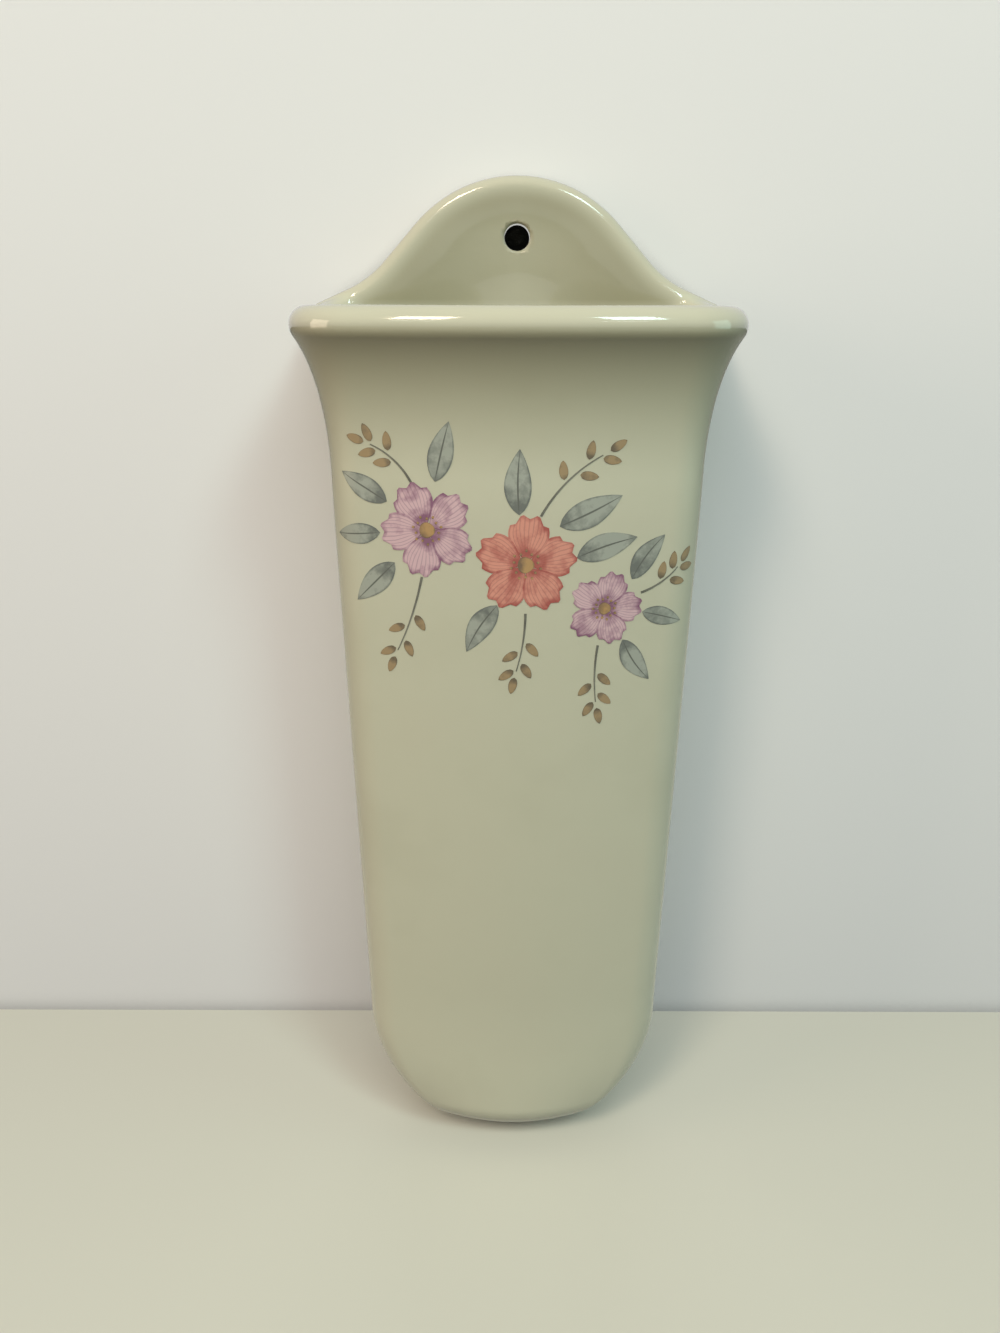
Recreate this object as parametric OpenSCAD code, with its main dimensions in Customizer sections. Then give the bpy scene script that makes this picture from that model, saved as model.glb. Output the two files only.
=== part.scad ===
// Hanging wall vase: a flat-backed, bow-fronted pocket with a rolled rim, a rounded
// base and an arched head with a hanging hole. The clay members are luted face to face,
// and a thin flower print lies on the front.
// The origin is on the hole's axis at the wall, +Z is up and the front faces -Y.

/* [Head] */
// Height of the crown above the hole's axis
crown_h = 14.4; // [13:0.2:17]
// Radius of the crown
crown_r = 35; // [33:0.5:36]
// Steepest slope of the arch, in degrees
arch_slope = 47.5; // [46:0.5:50]
// Radius of the hollow where the arch runs out into its foot
hollow_r = 28; // [15:1:30]
// Slope of the foot where it meets the rim, in degrees
foot_slope = 23.5; // [22:0.5:26]
// Radius of the shoulder where the foot turns down into the rim
shoulder_r = 2.6; // [2:0.1:3]
// Depth of that shoulder's centre below the top of the rim
shoulder_low = 1.6; // [1.2:0.1:2]
// Diameter of the hanging hole
hole_d = 6.4; // [4:0.2:9]
// Width of the raised roll round the head's face
roll_w = 6.4; // [4:0.2:7]
// Height of that roll above the head's face
roll_h = 1.2; // [0.6:0.1:1.6]

/* [Rim] */
// Distance from the hole's axis down to the top of the rim
rim_drop = 16.5; // [15.5:0.5:18]
// Radius of the rolled bead
bead_r = 4.3; // [3.6:0.1:4.8]
// Reach of the bead beyond the wall below it
rim_reach = 8; // [6:0.5:10]
// Height of the cove below the bead
cove_h = 31; // [24:1:40]

/* [Body] */
// Width of the body at the foot of the cove
body_top_w = 89.2; // [86:0.2:94]
// Width of the body where the base begins
body_low_w = 82.8; // [76:0.2:88]
// Depth of the body from the wall, at the foot of the cove
body_top_d = 52; // [48:0.5:56]
// Depth of the body from the wall, where the base begins
body_low_d = 40; // [37:0.5:45]
// Radius of the two upright front corners
corner_r = 11; // [9:0.5:14]
// Radius of the bowed front
bow_r = 140; // [110:5:200]
// Thickness of the front wall
wall_t = 5; // [3:0.5:6]
// Thickness of the back plate
plate_t = 6; // [4:0.5:8]

/* [Base] */
// Distance from the hole's axis down to the lowest point
base_drop = 252; // [220:0.5:280]
// Height over which the sides turn under
knee_h = 40.5; // [34:0.5:50]
// Fullness of that turn, 2 is an ellipse
knee_n = 1.94; // [1.8:0.02:3]
// Height over which the front turns under
toe_h = 14; // [11:0.5:22]
// Fullness of that turn, 2 is an ellipse
toe_n = 2.3; // [2:0.1:3.2]
// Thickness of the floor inside
floor_t = 6; // [4:0.5:8]

/* [Print] */
// Distance from the foot of the cove down to the middle blossom
print_low = 19.7; // [16:0.1:30]
// Distance of the mauve blossoms to either side of the middle
mauve_out = 21; // [20:0.5:22]
// Height of the larger mauve blossom above the coral one
mauve_up = 8; // [6:0.5:9]
// Depth of the smaller mauve blossom below the coral one
mauve_down = 11; // [9:0.5:13]
// Radius of the coral blossom
coral_r = 11.5; // [10:0.5:12]
// Radius of the larger mauve blossom
mauve_r = 11; // [9:0.5:11.5]
// Radius of the smaller mauve blossom
mauve_small_r = 9; // [7:0.5:9.5]
// Depth of the notches between petals, as a share of the blossom's radius
petal_notch = 0.34; // [0.2:0.02:0.4]
// Radius of a blossom's centre, as a share of the blossom's radius
centre_share = 0.24; // [0.16:0.02:0.3]
// Length of the usual leaf
leaf_l = 14; // [11:0.5:15]
// Width of a leaf, as a share of its length
leaf_share = 0.42; // [0.3:0.02:0.46]
// Length of the longest spray
spray_l = 20; // [16:0.5:21]
// Width of a stem
stem_w = 0.6; // [0.4:0.1:0.8]
// Length of a seed bud
bud_l = 4.4; // [3.4:0.2:5]
// Width of a seed bud
bud_w = 2.1; // [1.4:0.1:2.4]
// Thickness of the print
print_t = 0.15; // [0.1:0.01:0.25]

/* [Hidden] */

glaze = [0.85, 0.83, 0.72];
mauve = [0.66, 0.52, 0.62];
coral = [0.74, 0.36, 0.32];
ochre = [0.62, 0.45, 0.24];
leaf_grey = [0.55, 0.57, 0.52];
stem_grey = [0.36, 0.36, 0.35];
bud_tan = [0.66, 0.54, 0.38];

// Gap under and between printed parts, so that they stay separate solids
print_gap = 0.06;
// Steps round each curve
corner_steps = 8;
bow_steps = 10;
bead_steps = 12;
cove_steps = 10;
base_steps = 16;
arc_steps = 24;

// Heights, measured from the hole's axis
rim_z = -rim_drop;
bead_z = rim_z - bead_r;
base_z = -base_drop;
knee_z = base_z + knee_h;

// Centre of the shoulder at the end of the arch
shoulder_x = body_top_w / 2 + rim_reach - shoulder_r;
shoulder_z = rim_z - shoulder_low;

// The bead's section ends at this angle below its middle, where the cove begins
bead_under = 35;
// Share of a quarter turn that the cove takes, in degrees
cove_turn = 60;
bead_e = rim_reach - bead_r;
neck_e = bead_e + bead_r * cos(bead_under);
neck_z = bead_z - bead_r * sin(bead_under);
cove_z = neck_z - cove_h;

// Half width and depth of the body at height z
function body_share(z) = min(max((cove_z - z) / (cove_z - knee_z), 0), 1);
function half_w(z) = (body_top_w + (body_low_w - body_top_w) * body_share(z)) / 2;
function depth(z) = body_top_d + (body_low_d - body_top_d) * body_share(z);

// The cove at turn b: how far it stands out, and its height
function cove_e(b) = neck_e * (1 - cos(b)) / (1 - cos(cove_turn));
function cove_at(b) = cove_z + cove_h * sin(b) / sin(cove_turn);
function cove_turn_at(z) = asin(min(max((z - cove_z) / cove_h, 0), 1) * sin(cove_turn));

// Centre and end angle of a front corner's arc, for a section of half width w
function corner_y(w, d, e) =
    d - (bow_r + e) + sqrt(pow(bow_r - corner_r, 2) - pow(w - corner_r - e, 2));
function corner_end(w, d, e) =
    atan2(corner_y(w, d, e) - d + bow_r + e, w - corner_r - e);

// Half of a section, from the back plate to the middle of the front.
// w and d are its half width and depth, e is how far it stands outside the wall.
function half_section(w, d, e) =
    let (c = corner_r + e, r = bow_r + e, y = corner_y(w, d, e), turn = corner_end(w, d, e))
    concat(
        [[w, plate_t]],
        [for (i = [0:corner_steps]) let (a = turn * i / corner_steps)
            [w - c + c * cos(a), y + c * sin(a)]],
        [for (i = [1:bow_steps]) let (a = turn + (90 - turn) * i / bow_steps)
            [r * cos(a), d - r + r * sin(a)]]);

// A whole section at height z, as points in space, with the front at -Y.
// kw draws in its width and kd its depth in front of the back plate.
function section(z, e, kw = 1, kd = 1) =
    let (half = half_section(half_w(z) + e, depth(z) + e, e), n = len(half))
    [for (i = [0:2 * n - 2])
        let (p = half[i < n ? i : 2 * n - 2 - i], side = i < n ? 1 : -1)
        [side * p.x * kw, -plate_t - (p.y - plate_t) * kd, z]];

// Solid between sections that follow each other round a closed profile
module swept(rows) {
    m = len(rows[0]);
    n = len(rows);
    polyhedron(
        points = [for (row = rows) each row],
        faces = concat(
            [for (k = [0:n - 1], j = [0:m - 2]) let (k2 = (k + 1) % n)
                each [[k * m + j, k * m + j + 1, k2 * m + j],
                      [k2 * m + j, k * m + j + 1, k2 * m + j + 1]]],
            [[for (k = [0:n - 1]) k * m], [for (k = [n - 1:-1:0]) k * m + m - 1]]));
}

// Right-hand outline of the arch, drawn in by inset, from the crown to the foot.
// The crown's arc runs into a straight slope, a hollow arc and a straight foot.
function along(a) = [cos(a), -sin(a)];
function crown_end() = [crown_r * sin(arch_slope), crown_h - crown_r * (1 - cos(arch_slope))];
function foot_end() =
    [shoulder_x + shoulder_r * sin(foot_slope), shoulder_z + shoulder_r * cos(foot_slope)];
function knuckle() =
    crown_end() + along(arch_slope) * cross(foot_end() - crown_end(), along(foot_slope))
    / cross(along(arch_slope), along(foot_slope));
function hollow_centre() =
    knuckle() - along(arch_slope) * hollow_r * tan((arch_slope - foot_slope) / 2)
    + [sin(arch_slope), cos(arch_slope)] * hollow_r;
function arch(inset) = concat(
    [for (i = [0:arc_steps]) let (a = arch_slope * i / arc_steps)
        [(crown_r - inset) * sin(a), crown_h - crown_r + (crown_r - inset) * cos(a)]],
    [for (i = [0:arc_steps / 4])
        let (a = arch_slope + (foot_slope - arch_slope) * i * 4 / arc_steps)
        hollow_centre() - [sin(a), cos(a)] * (hollow_r + inset)]);

// Outline of the base at turn a, from its sides at 0 to its lowest point at 90
function knee_k(a, n) = pow(cos(a), 2 / n);
function knee_u(a, n) = pow(sin(a), 2 / n);

// Share of the depth that is left at height z, above a toe of height h that ends at low
function toe_k(z, low, h) =
    pow(1 - pow(min(max((low + h - z) / h, 0), 1), toe_n), 1 / toe_n);

// One layer of the base: e is how far it stands outside the wall, low is its lowest
// point and toe the height of its toe
function base_row(a, e, low, toe) =
    let (z = knee_z - (knee_z - low) * knee_u(a, knee_n))
    [for (p = section(knee_z, e, knee_k(a, knee_n), toe_k(z, low, toe))) [p.x, p.y, z]];

module back_plate() {
    right = concat(
        arch(0),
        [for (i = [0:bead_steps]) let (a = (90 - foot_slope) * (1 - i / bead_steps))
            [shoulder_x + shoulder_r * cos(a), shoulder_z + shoulder_r * sin(a)]],
        [for (i = [0:bead_steps]) let (a = -bead_under * i / bead_steps)
            [body_top_w / 2 + bead_e + bead_r * cos(a), bead_z + bead_r * sin(a)]],
        [for (i = [1:cove_steps]) let (b = cove_turn * (1 - i / cove_steps))
            [body_top_w / 2 + cove_e(b), cove_at(b)]],
        [for (i = [0:base_steps]) let (a = 90 * i / base_steps)
            [body_low_w / 2 * knee_k(a, knee_n), knee_z - knee_h * knee_u(a, knee_n)]]);
    left = [for (i = [len(right) - 2:-1:1]) [-right[i].x, right[i].y]];
    color(glaze)
        difference() {
            rotate([90, 0, 0])
                linear_extrude(height = plate_t)
                    polygon(concat(right, left));
            rotate([90, 0, 0])
                translate([0, 0, -1])
                    cylinder(d = hole_d, h = plate_t + 2, $fn = 48);
        }
}

module front_wall() {
    color(glaze)
        swept([section(cove_z, 0), section(knee_z, 0), section(knee_z, -wall_t),
               section(cove_z, -wall_t)]);
}

module rounded_base() {
    n = base_steps;
    outer = [for (i = [0:n - 1]) base_row(90 * i / n, 0, base_z, toe_h)];
    inner = [for (i = [0:n - 1])
        base_row(90 * i / n, -wall_t, base_z + floor_t, toe_h - floor_t / 2)];
    m = len(outer[0]);
    in0 = n * m;
    out_pole = 2 * n * m;
    in_pole = out_pole + 1;
    last = (n - 1) * m;
    color(glaze)
        polyhedron(
            points = concat([for (row = outer) each row], [for (row = inner) each row],
                            [[0, -plate_t, base_z], [0, -plate_t, base_z + floor_t]]),
            faces = concat(
                [for (i = [0:n - 2], j = [0:m - 2])
                    each [[i * m + j, i * m + j + 1, i * m + m + j],
                          [i * m + m + j, i * m + j + 1, i * m + m + j + 1]]],
                [for (i = [0:n - 2], j = [0:m - 2])
                    each [[in0 + i * m + j + 1, in0 + i * m + j, in0 + i * m + m + j],
                          [in0 + i * m + j + 1, in0 + i * m + m + j, in0 + i * m + m + j + 1]]],
                [for (j = [0:m - 2])
                    each [[last + j, last + j + 1, out_pole],
                          [in0 + last + j + 1, in0 + last + j, in_pole],
                          [in0 + j, in0 + j + 1, j],
                          [j, in0 + j + 1, j + 1]]],
                [for (i = [0:n - 2])
                    let (a = i * m, b = a + m - 1)
                    each [[a, a + m, in0 + a], [a + m, in0 + a + m, in0 + a],
                          [b + m, b, in0 + b], [b + m, in0 + b, in0 + b + m]]],
                [[last, out_pole, in0 + last], [out_pole, in_pole, in0 + last],
                 [out_pole, last + m - 1, in0 + last + m - 1],
                 [out_pole, in0 + last + m - 1, in_pole]]));
}

module rolled_rim() {
    inner_e = rim_reach - 2 * bead_r;
    profile = concat(
        [for (i = [0:bead_steps]) let (a = 90 - (90 + bead_under) * i / bead_steps)
            [bead_e + bead_r * cos(a), bead_z + bead_r * sin(a)]],
        [for (i = [1:cove_steps]) let (b = cove_turn * (1 - i / cove_steps))
            [cove_e(b), cove_at(b)]],
        [for (i = [0:cove_steps]) let (b = cove_turn * i / cove_steps)
            [min(cove_e(b) - wall_t, inner_e), cove_at(b)]],
        [for (i = [0:bead_steps / 2 - 1]) let (a = 180 - 180 * i / bead_steps)
            [bead_e + bead_r * cos(a), bead_z + bead_r * sin(a)]]);
    color(glaze)
        swept([for (p = profile) section(p.y, p.x)]);
}

module head_roll() {
    r = roll_w / 2;
    // The roll stops just above the rim
    stop_z = rim_z + r;
    ring = [for (p = arch(r)) if (p.y > stop_z) p];
    foot = ring[len(ring) - 1];
    run = (foot.y - stop_z) / sin(foot_slope);
    half = concat(ring, [foot + along(foot_slope) * run]);
    n = len(half);
    path = [for (i = [0:2 * n - 2])
        i < n ? [-half[n - 1 - i].x, half[n - 1 - i].y] : half[i - n + 1]];
    steps = 8;
    rows = [for (k = [0:steps])
        let (t = 180 * k / steps)
        [for (i = [0:len(path) - 1])
            let (before = path[max(i - 1, 0)], after = path[min(i + 1, len(path) - 1)],
                 dir = (after - before) / norm(after - before),
                 p = path[i] + [-dir.y, dir.x] * r * cos(t))
            [p.x, -plate_t - roll_h * sin(t), p.y]]];
    color(glaze)
        swept(rows);
}

// A point of the front: s runs round the section from the middle, z is its height,
// and lift is how far it stands off the glaze
function on_front(s, z, lift) =
    let (e = cove_e(cove_turn_at(z)), c = corner_r + e, r = bow_r + e,
         w = half_w(z) + e, d = depth(z) + e,
         turn = corner_end(w, d, e), bow_l = r * (90 - turn) * PI / 180, q = abs(s),
         a = q < bow_l ? 90 - q / r * 180 / PI : turn - (q - bow_l) / c * 180 / PI,
         p = q < bow_l ? [(r + lift) * cos(a), d - r + (r + lift) * sin(a)]
                       : [w - c + (c + lift) * cos(a), corner_y(w, d, e) + (c + lift) * sin(a)])
    [sign(s) * p.x, -p.y, z];

// Thin film on the front over a grid of [s, z] points, closed on itself if loop is set
module film(grid, loop = false) {
    n = len(grid);
    m = len(grid[0]);
    size = n * m;
    last = loop ? n - 1 : n - 2;
    polyhedron(
        points = concat(
            [for (row = grid, p = row) on_front(p.x, p.y, print_gap)],
            [for (row = grid, p = row) on_front(p.x, p.y, print_gap + print_t)]),
        faces = concat(
            [for (i = [0:last], j = [0:m - 2])
                let (a = i * m + j, b = (i + 1) % n * m + j)
                each [[a, b, b + 1], [a, b + 1, a + 1],
                      [size + b, size + a, size + b + 1],
                      [size + a, size + a + 1, size + b + 1]]],
            [for (i = [0:last])
                let (a = i * m, b = (i + 1) % n * m)
                each [[b, a, size + a], [b, size + a, size + b],
                      [a + m - 1, b + m - 1, size + a + m - 1],
                      [b + m - 1, size + b + m - 1, size + a + m - 1]]],
            loop ? [] : [for (j = [0:m - 2])
                let (b = (n - 1) * m + j)
                each [[j, j + 1, size + j], [j + 1, size + j + 1, size + j],
                      [b + 1, b, size + b], [b + 1, size + b, size + b + 1]]]));
}

// An oval or pointed patch from a point, at an angle, with its length, width and form.
// A form of 0.5 is an ellipse and 1 has pointed ends.
module patch(at, angle, length, width, form, steps, across) {
    dir = [cos(angle), sin(angle)];
    side = [-dir.y, dir.x];
    blunt = 0.1;
    film([for (i = [0:steps])
        let (t = i / steps, reach = max(width / 2 * pow(sin(180 * t), form), blunt))
        [for (j = [0:across])
            at + dir * length * t + side * reach * (1 - 2 * j / across)]]);
}

// A thin line that bends evenly from a point, at an angle, by a turn over its length
module tendril(at, angle, turn, length, steps) {
    bend = length / (turn * PI / 180);
    centre = at + bend * [-sin(angle), cos(angle)];
    film([for (i = [0:steps])
        let (a = angle - 90 + turn * i / steps)
        [for (j = [1, -1]) centre + (bend - j * stem_w / 2) * [cos(a), sin(a)]]]);
}

// Blossom places: [s, height above the middle blossom, radius, turn]
coral_at = [2, 0, coral_r, 12];
mauve_at = [-mauve_out, mauve_up, mauve_r, 40];
mauve_small_at = [mauve_out, -mauve_down, mauve_small_r, 0];
petals = 5;
petal_steps = 8;

function place(b) = [b.x, b.y + cove_z - print_low];

module blossom(b) {
    n = petals * petal_steps;
    film([for (i = [0:n - 1])
        let (a = 360 * i / n,
             edge = b[2] * (1 - petal_notch + petal_notch * pow(abs(cos(a * petals / 2)), 0.6)),
             core = b[2] * centre_share + print_gap)
        [for (j = [0:3])
            place(b) + (edge + (core - edge) * j / 3) * [cos(a + b[3]), sin(a + b[3])]]], true);
}

module coral_blossom() {
    color(coral)
        blossom(coral_at);
}

module mauve_blossoms() {
    color(mauve)
        for (b = [mauve_at, mauve_small_at])
            blossom(b);
}

module blossom_centres() {
    color(ochre)
        for (b = [coral_at, mauve_at, mauve_small_at])
            let (r = b[2] * centre_share)
                patch(place(b) - [r, 0], 0, 2 * r, 2 * r, 0.5, 8, 2);
}

// Each leaf: the blossom it grows beside, the side it grows on, its lean, and its share
// of the usual length
leaf_rows = [
    [mauve_at, 185, 0, 0.86], [mauve_at, 146, 4, 0.93], [mauve_at, 80, -4, 1],
    [mauve_at, 225, 0, 1], [coral_at, 98, -8, 1.07], [coral_at, 50, -24, 1.14],
    [coral_at, 8, 10, 1.07], [coral_at, 236, 2, 1], [mauve_small_at, 48, 6, 0.93],
    [mauve_small_at, 352, -8, 0.79], [mauve_small_at, 300, 4, 0.93]];
leaf_gap = 0.5;

module leaves() {
    color(leaf_grey)
        for (row = leaf_rows)
            let (b = row[0], a = row[1], l = leaf_l * row[3])
                patch(place(b) + (b[2] + leaf_gap) * [cos(a), sin(a)], a + row[2], l,
                      l * leaf_share, 0.85, 8, 4);
}

// Each spray: the blossom it grows beside, the side it grows on, its lean and turn, and
// its share of the longest
spray_rows = [
    [coral_at, 74, -12, -34, 1], [mauve_at, 262, -4, -14, 1],
    [mauve_small_at, 262, 0, 16, 0.75], [mauve_at, 108, 10, 40, 0.65],
    [coral_at, 270, 0, -16, 0.75], [mauve_small_at, 22, -4, 30, 0.55]];
stem_gap = 0.5;

function spray_start(row) =
    place(row[0]) + (row[0][2] + stem_gap) * [cos(row[1]), sin(row[1])];
function spray_point(row, share) =
    let (a = row[1] + row[2], bend = spray_l * row[4] / (row[3] * PI / 180),
         b = a - 90 + row[3] * share)
    spray_start(row) + bend * ([-sin(a), cos(a)] + [cos(b), sin(b)]);
function spray_dir(row, share) = row[1] + row[2] + row[3] * share;

module stems() {
    color(stem_grey)
        for (row = spray_rows)
            tendril(spray_start(row), row[1] + row[2], row[3], spray_l * row[4], 9);
}

// Share of the spray's length and lean of each seed bud on it
bud_rows = [[0.45, 48], [0.62, -48], [0.8, 44], [0.94, -40], [1.04, 4]];

module seed_buds() {
    color(bud_tan)
        for (row = spray_rows, bud = bud_rows)
            let (dir = spray_dir(row, min(bud[0], 1)) + bud[1],
                 root = spray_point(row, bud[0]) + (stem_w + bud_w / 4) * [cos(dir), sin(dir)])
                patch(root, dir, bud_l, bud_w, 0.6, 6, 1);
}

back_plate();
front_wall();
rounded_base();
rolled_rim();
head_roll();
coral_blossom();
mauve_blossoms();
blossom_centres();
leaves();
stems();
seed_buds();
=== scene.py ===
import math
import random

import bpy
import numpy as np
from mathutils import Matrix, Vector


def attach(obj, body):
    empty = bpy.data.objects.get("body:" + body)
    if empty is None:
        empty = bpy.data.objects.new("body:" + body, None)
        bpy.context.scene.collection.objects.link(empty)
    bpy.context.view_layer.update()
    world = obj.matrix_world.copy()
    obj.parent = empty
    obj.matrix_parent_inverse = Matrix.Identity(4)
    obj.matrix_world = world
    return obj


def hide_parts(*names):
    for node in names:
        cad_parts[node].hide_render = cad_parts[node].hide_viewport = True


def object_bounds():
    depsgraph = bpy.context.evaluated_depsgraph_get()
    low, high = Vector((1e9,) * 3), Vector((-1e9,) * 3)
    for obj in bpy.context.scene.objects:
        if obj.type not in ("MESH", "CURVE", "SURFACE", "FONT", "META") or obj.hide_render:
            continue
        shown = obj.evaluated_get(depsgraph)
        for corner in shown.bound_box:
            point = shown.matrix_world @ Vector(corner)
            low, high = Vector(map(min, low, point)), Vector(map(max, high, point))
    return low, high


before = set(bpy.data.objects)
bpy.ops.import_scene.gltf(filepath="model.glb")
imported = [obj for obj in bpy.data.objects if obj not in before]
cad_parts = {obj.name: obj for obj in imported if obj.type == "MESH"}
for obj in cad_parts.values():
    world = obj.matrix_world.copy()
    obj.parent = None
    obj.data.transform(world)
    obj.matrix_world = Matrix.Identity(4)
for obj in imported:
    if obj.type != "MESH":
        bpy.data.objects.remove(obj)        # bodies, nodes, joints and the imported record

# Hanging wall vase: one glazed body, a printed sprig, a pale table and studio light.
# Sizes are in millimetres up to the moment a mesh is made, and then in metres.
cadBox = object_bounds()
scene = bpy.context.scene
scene.view_settings.view_transform = "Standard"
mm = 0.001


# Camera, solved from the rim seen edge on and the fall-off in width down the body
cameraSettings = {"place": (-4.0, -295.0, -18.5), "pitchDown": 18.2, "focalPixels": 1070.0,
                  "imageHeight": 1333.0, "sensor": 36.0, "roll": 0.16}


def makeCamera(values):
    data = bpy.data.cameras.new("camera")
    data.sensor_width = values["sensor"]
    data.lens = values["focalPixels"] / values["imageHeight"] * values["sensor"]
    data.clip_start = 0.01
    camera = bpy.data.objects.new("camera", data)
    camera.location = Vector(values["place"]) * mm
    camera.rotation_euler = (math.radians(90 - values["pitchDown"]), 0.0, 0.0)
    camera.rotation_euler.rotate_axis("Z", math.radians(values["roll"]))
    scene.collection.objects.link(camera)
    scene.camera = camera


makeCamera(cameraSettings)
print("camera placed")


# The clay body. The form is one field, negative inside the clay, so every corner gets
# its own fillet and the lip, the rim and the head run into each other.
body = {
    "plate": 6.0, "wall": 5.0, "corner": 11.0, "bow": 140.0,
    "topHalf": 44.6, "lowHalf": 41.4, "topDepth": 52.0, "lowDepth": 40.0,
    "rimTop": -16.5, "beadRadius": 4.3, "rimReach": 8.0, "coveHeight": 31.0,
    "beadUnder": 35.0, "coveTurn": 60.0,
    "low": -252.0, "kneeHeight": 40.5, "kneePower": 1.94, "toeHeight": 14.0, "toePower": 2.3,
    "floor": 6.0, "floorToe": 11.0,
    "crownHeight": 14.4, "crownRadius": 35.0, "archSlope": 47.5, "hollowRadius": 28.0,
    "footSlope": 23.5, "shoulderRadius": 2.6, "shoulderLow": 1.6,
    "lipRadius": 2.8, "lipRise": 1.2, "sweep": 24.0, "dish": 0.8,
    "holeRadius": 3.2, "holeEdge": 0.7, "backEdge": 2.4, "fillet": 6.5, "taperEase": 0.08,
    # The pool values shape glaze lying thick and painted shade in the cove, under the bead and in
    # the head
    "poolAndShadePower": 1.4, "headPoolAndShade": (0.4, 0.3, 0.5), "poolAndShadeEdge": 1.2, "poolAndShadeFade": 5.0,
    "fineStep": 0.85, "sideStep": 1.1, "rimStep": 1.5, "baseStep": 1.3, "bodyStep": 2.1,
    "coveStep": 1.4, "fineAcross": 36.0, "fineDeep": 12.0, "levels": (-205.0, -60.0, -34.0),
    "bendReach": 1.2, "bendMost": 0.6, "astray": 0.1,
}


def clip01(value):
    return np.clip(value, 0.0, 1.0)


def smooth(value):
    value = clip01(value)
    return value * value * (3.0 - 2.0 * value)


def roundMeet(a, b, radius):
    # Intersection of two fields that stand square to each other, with a rounded edge
    outer = np.hypot(np.maximum(a + radius, 0.0), np.maximum(b + radius, 0.0))
    return np.minimum(np.maximum(a, b), -radius) + outer


def meetAtAngle(a, b, cosine, radius):
    # The same for fields whose directions stand at any angle
    cosine = np.clip(cosine, -0.98, 0.9999)
    aIn, bIn = a + radius, b + radius
    square = (aIn ** 2 + bIn ** 2 - 2.0 * aIn * bIn * cosine) / (1.0 - cosine ** 2)
    inside = (aIn > bIn * cosine) & (bIn > aIn * cosine)
    return np.where(inside, np.sqrt(np.maximum(square, 0.0)) - radius, np.maximum(a, b))


def bodyLevels(v):
    # Heights of the bead's middle, the neck under it, the foot of the cove and the knee
    beadMid = v["rimTop"] - v["beadRadius"]
    neckZ = beadMid - v["beadRadius"] * math.sin(math.radians(v["beadUnder"]))
    return beadMid, neckZ, neckZ - v["coveHeight"], v["low"] + v["kneeHeight"]


beadMid, neckZ, coveFoot, kneeZ = bodyLevels(body)


def taperShare(z, v=body):
    # 0 above the foot of the cove and 1 below the knee, eased at both ends
    raw, ease = (coveFoot - z) / (coveFoot - kneeZ), v["taperEase"]

    def past(value):
        return np.where(value > ease, value, np.maximum(value + ease, 0.0) ** 2 / (4.0 * ease))
    return past(raw) - past(raw - 1.0)


def sectionSize(z, out, v=body):
    # Half width and depth of the level section at height z, moved outwards
    share = taperShare(z)
    return (v["topHalf"] + (v["lowHalf"] - v["topHalf"]) * share + out,
            v["topDepth"] + (v["lowDepth"] - v["topDepth"]) * share + out)


def sectionField(x, u, half, deep, corner, bow):
    # Distance from a level section: straight sides, round front corners and a bowed front
    bowCentre = deep - bow
    cornerX = half - corner
    cornerU = bowCentre + np.sqrt((bow - corner) ** 2 - cornerX ** 2)
    turn = np.arctan2(cornerU - bowCentre, cornerX)
    px, pu = x - cornerX, u - cornerU
    inCorner = (pu > 0.0) & (px * np.sin(turn) - pu * np.cos(turn) > 0.0)
    flat = np.maximum(x - half, np.hypot(x, u - bowCentre) - bow)
    return np.where(inCorner, np.hypot(px, pu) - corner, flat)


def wallField(x, u, z, inset, low, toe, v=body):
    # Distance from the wall's surface: x across, u out from the wall plane, z up.
    # inset moves the surface inwards, low and toe shape the underside.
    corner, bow, plate = v["corner"] - inset, v["bow"] - inset, v["plate"]

    def turned(x, u, z):
        # The section narrows on the knee's curve and grows shallow on the toe's
        half, deep = sectionSize(z, -inset)
        drop = clip01((kneeZ - z) / (kneeZ - low))
        toeDrop = clip01((low + toe - z) / toe)
        narrow = np.maximum(1.0 - drop ** v["kneePower"], 1e-5) ** (1.0 / v["kneePower"])
        shallow = np.maximum(1.0 - toeDrop ** v["toePower"], 1e-5) ** (1.0 / v["toePower"])
        deepU = np.where(u > plate, plate + (u - plate) / shallow, u)
        return sectionField(x / narrow, deepU, half, deep, corner, bow)

    distance = turned(x, u, z)
    under = z < kneeZ + 1.0
    if np.any(under):
        # Scaled back to a true distance below the knee
        x, u, z = x[under], u[under], z[under]
        here, shift = distance[under], 0.03
        rise = np.sqrt((turned(x + shift, u, z) - here) ** 2 + (turned(x, u + shift, z) - here) ** 2
                       + (turned(x, u, z + shift) - here) ** 2) / shift
        distance[under] = np.maximum(here / np.maximum(rise, 0.3), low - z)
    return distance


def coveCurve(z, v=body):
    # How far the cove stands out at height z, and its slope
    turnEnd = math.radians(v["coveTurn"])
    neckReach = (v["rimReach"] - v["beadRadius"]
                 + v["beadRadius"] * math.cos(math.radians(v["beadUnder"])))
    deepest = neckReach / (1.0 - math.cos(turnEnd))
    turn = np.arcsin(clip01((z - coveFoot) / v["coveHeight"]) * math.sin(turnEnd))
    slope = deepest * np.tan(turn) * math.sin(turnEnd) / v["coveHeight"]
    return deepest * (1.0 - np.cos(turn)), slope


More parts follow.
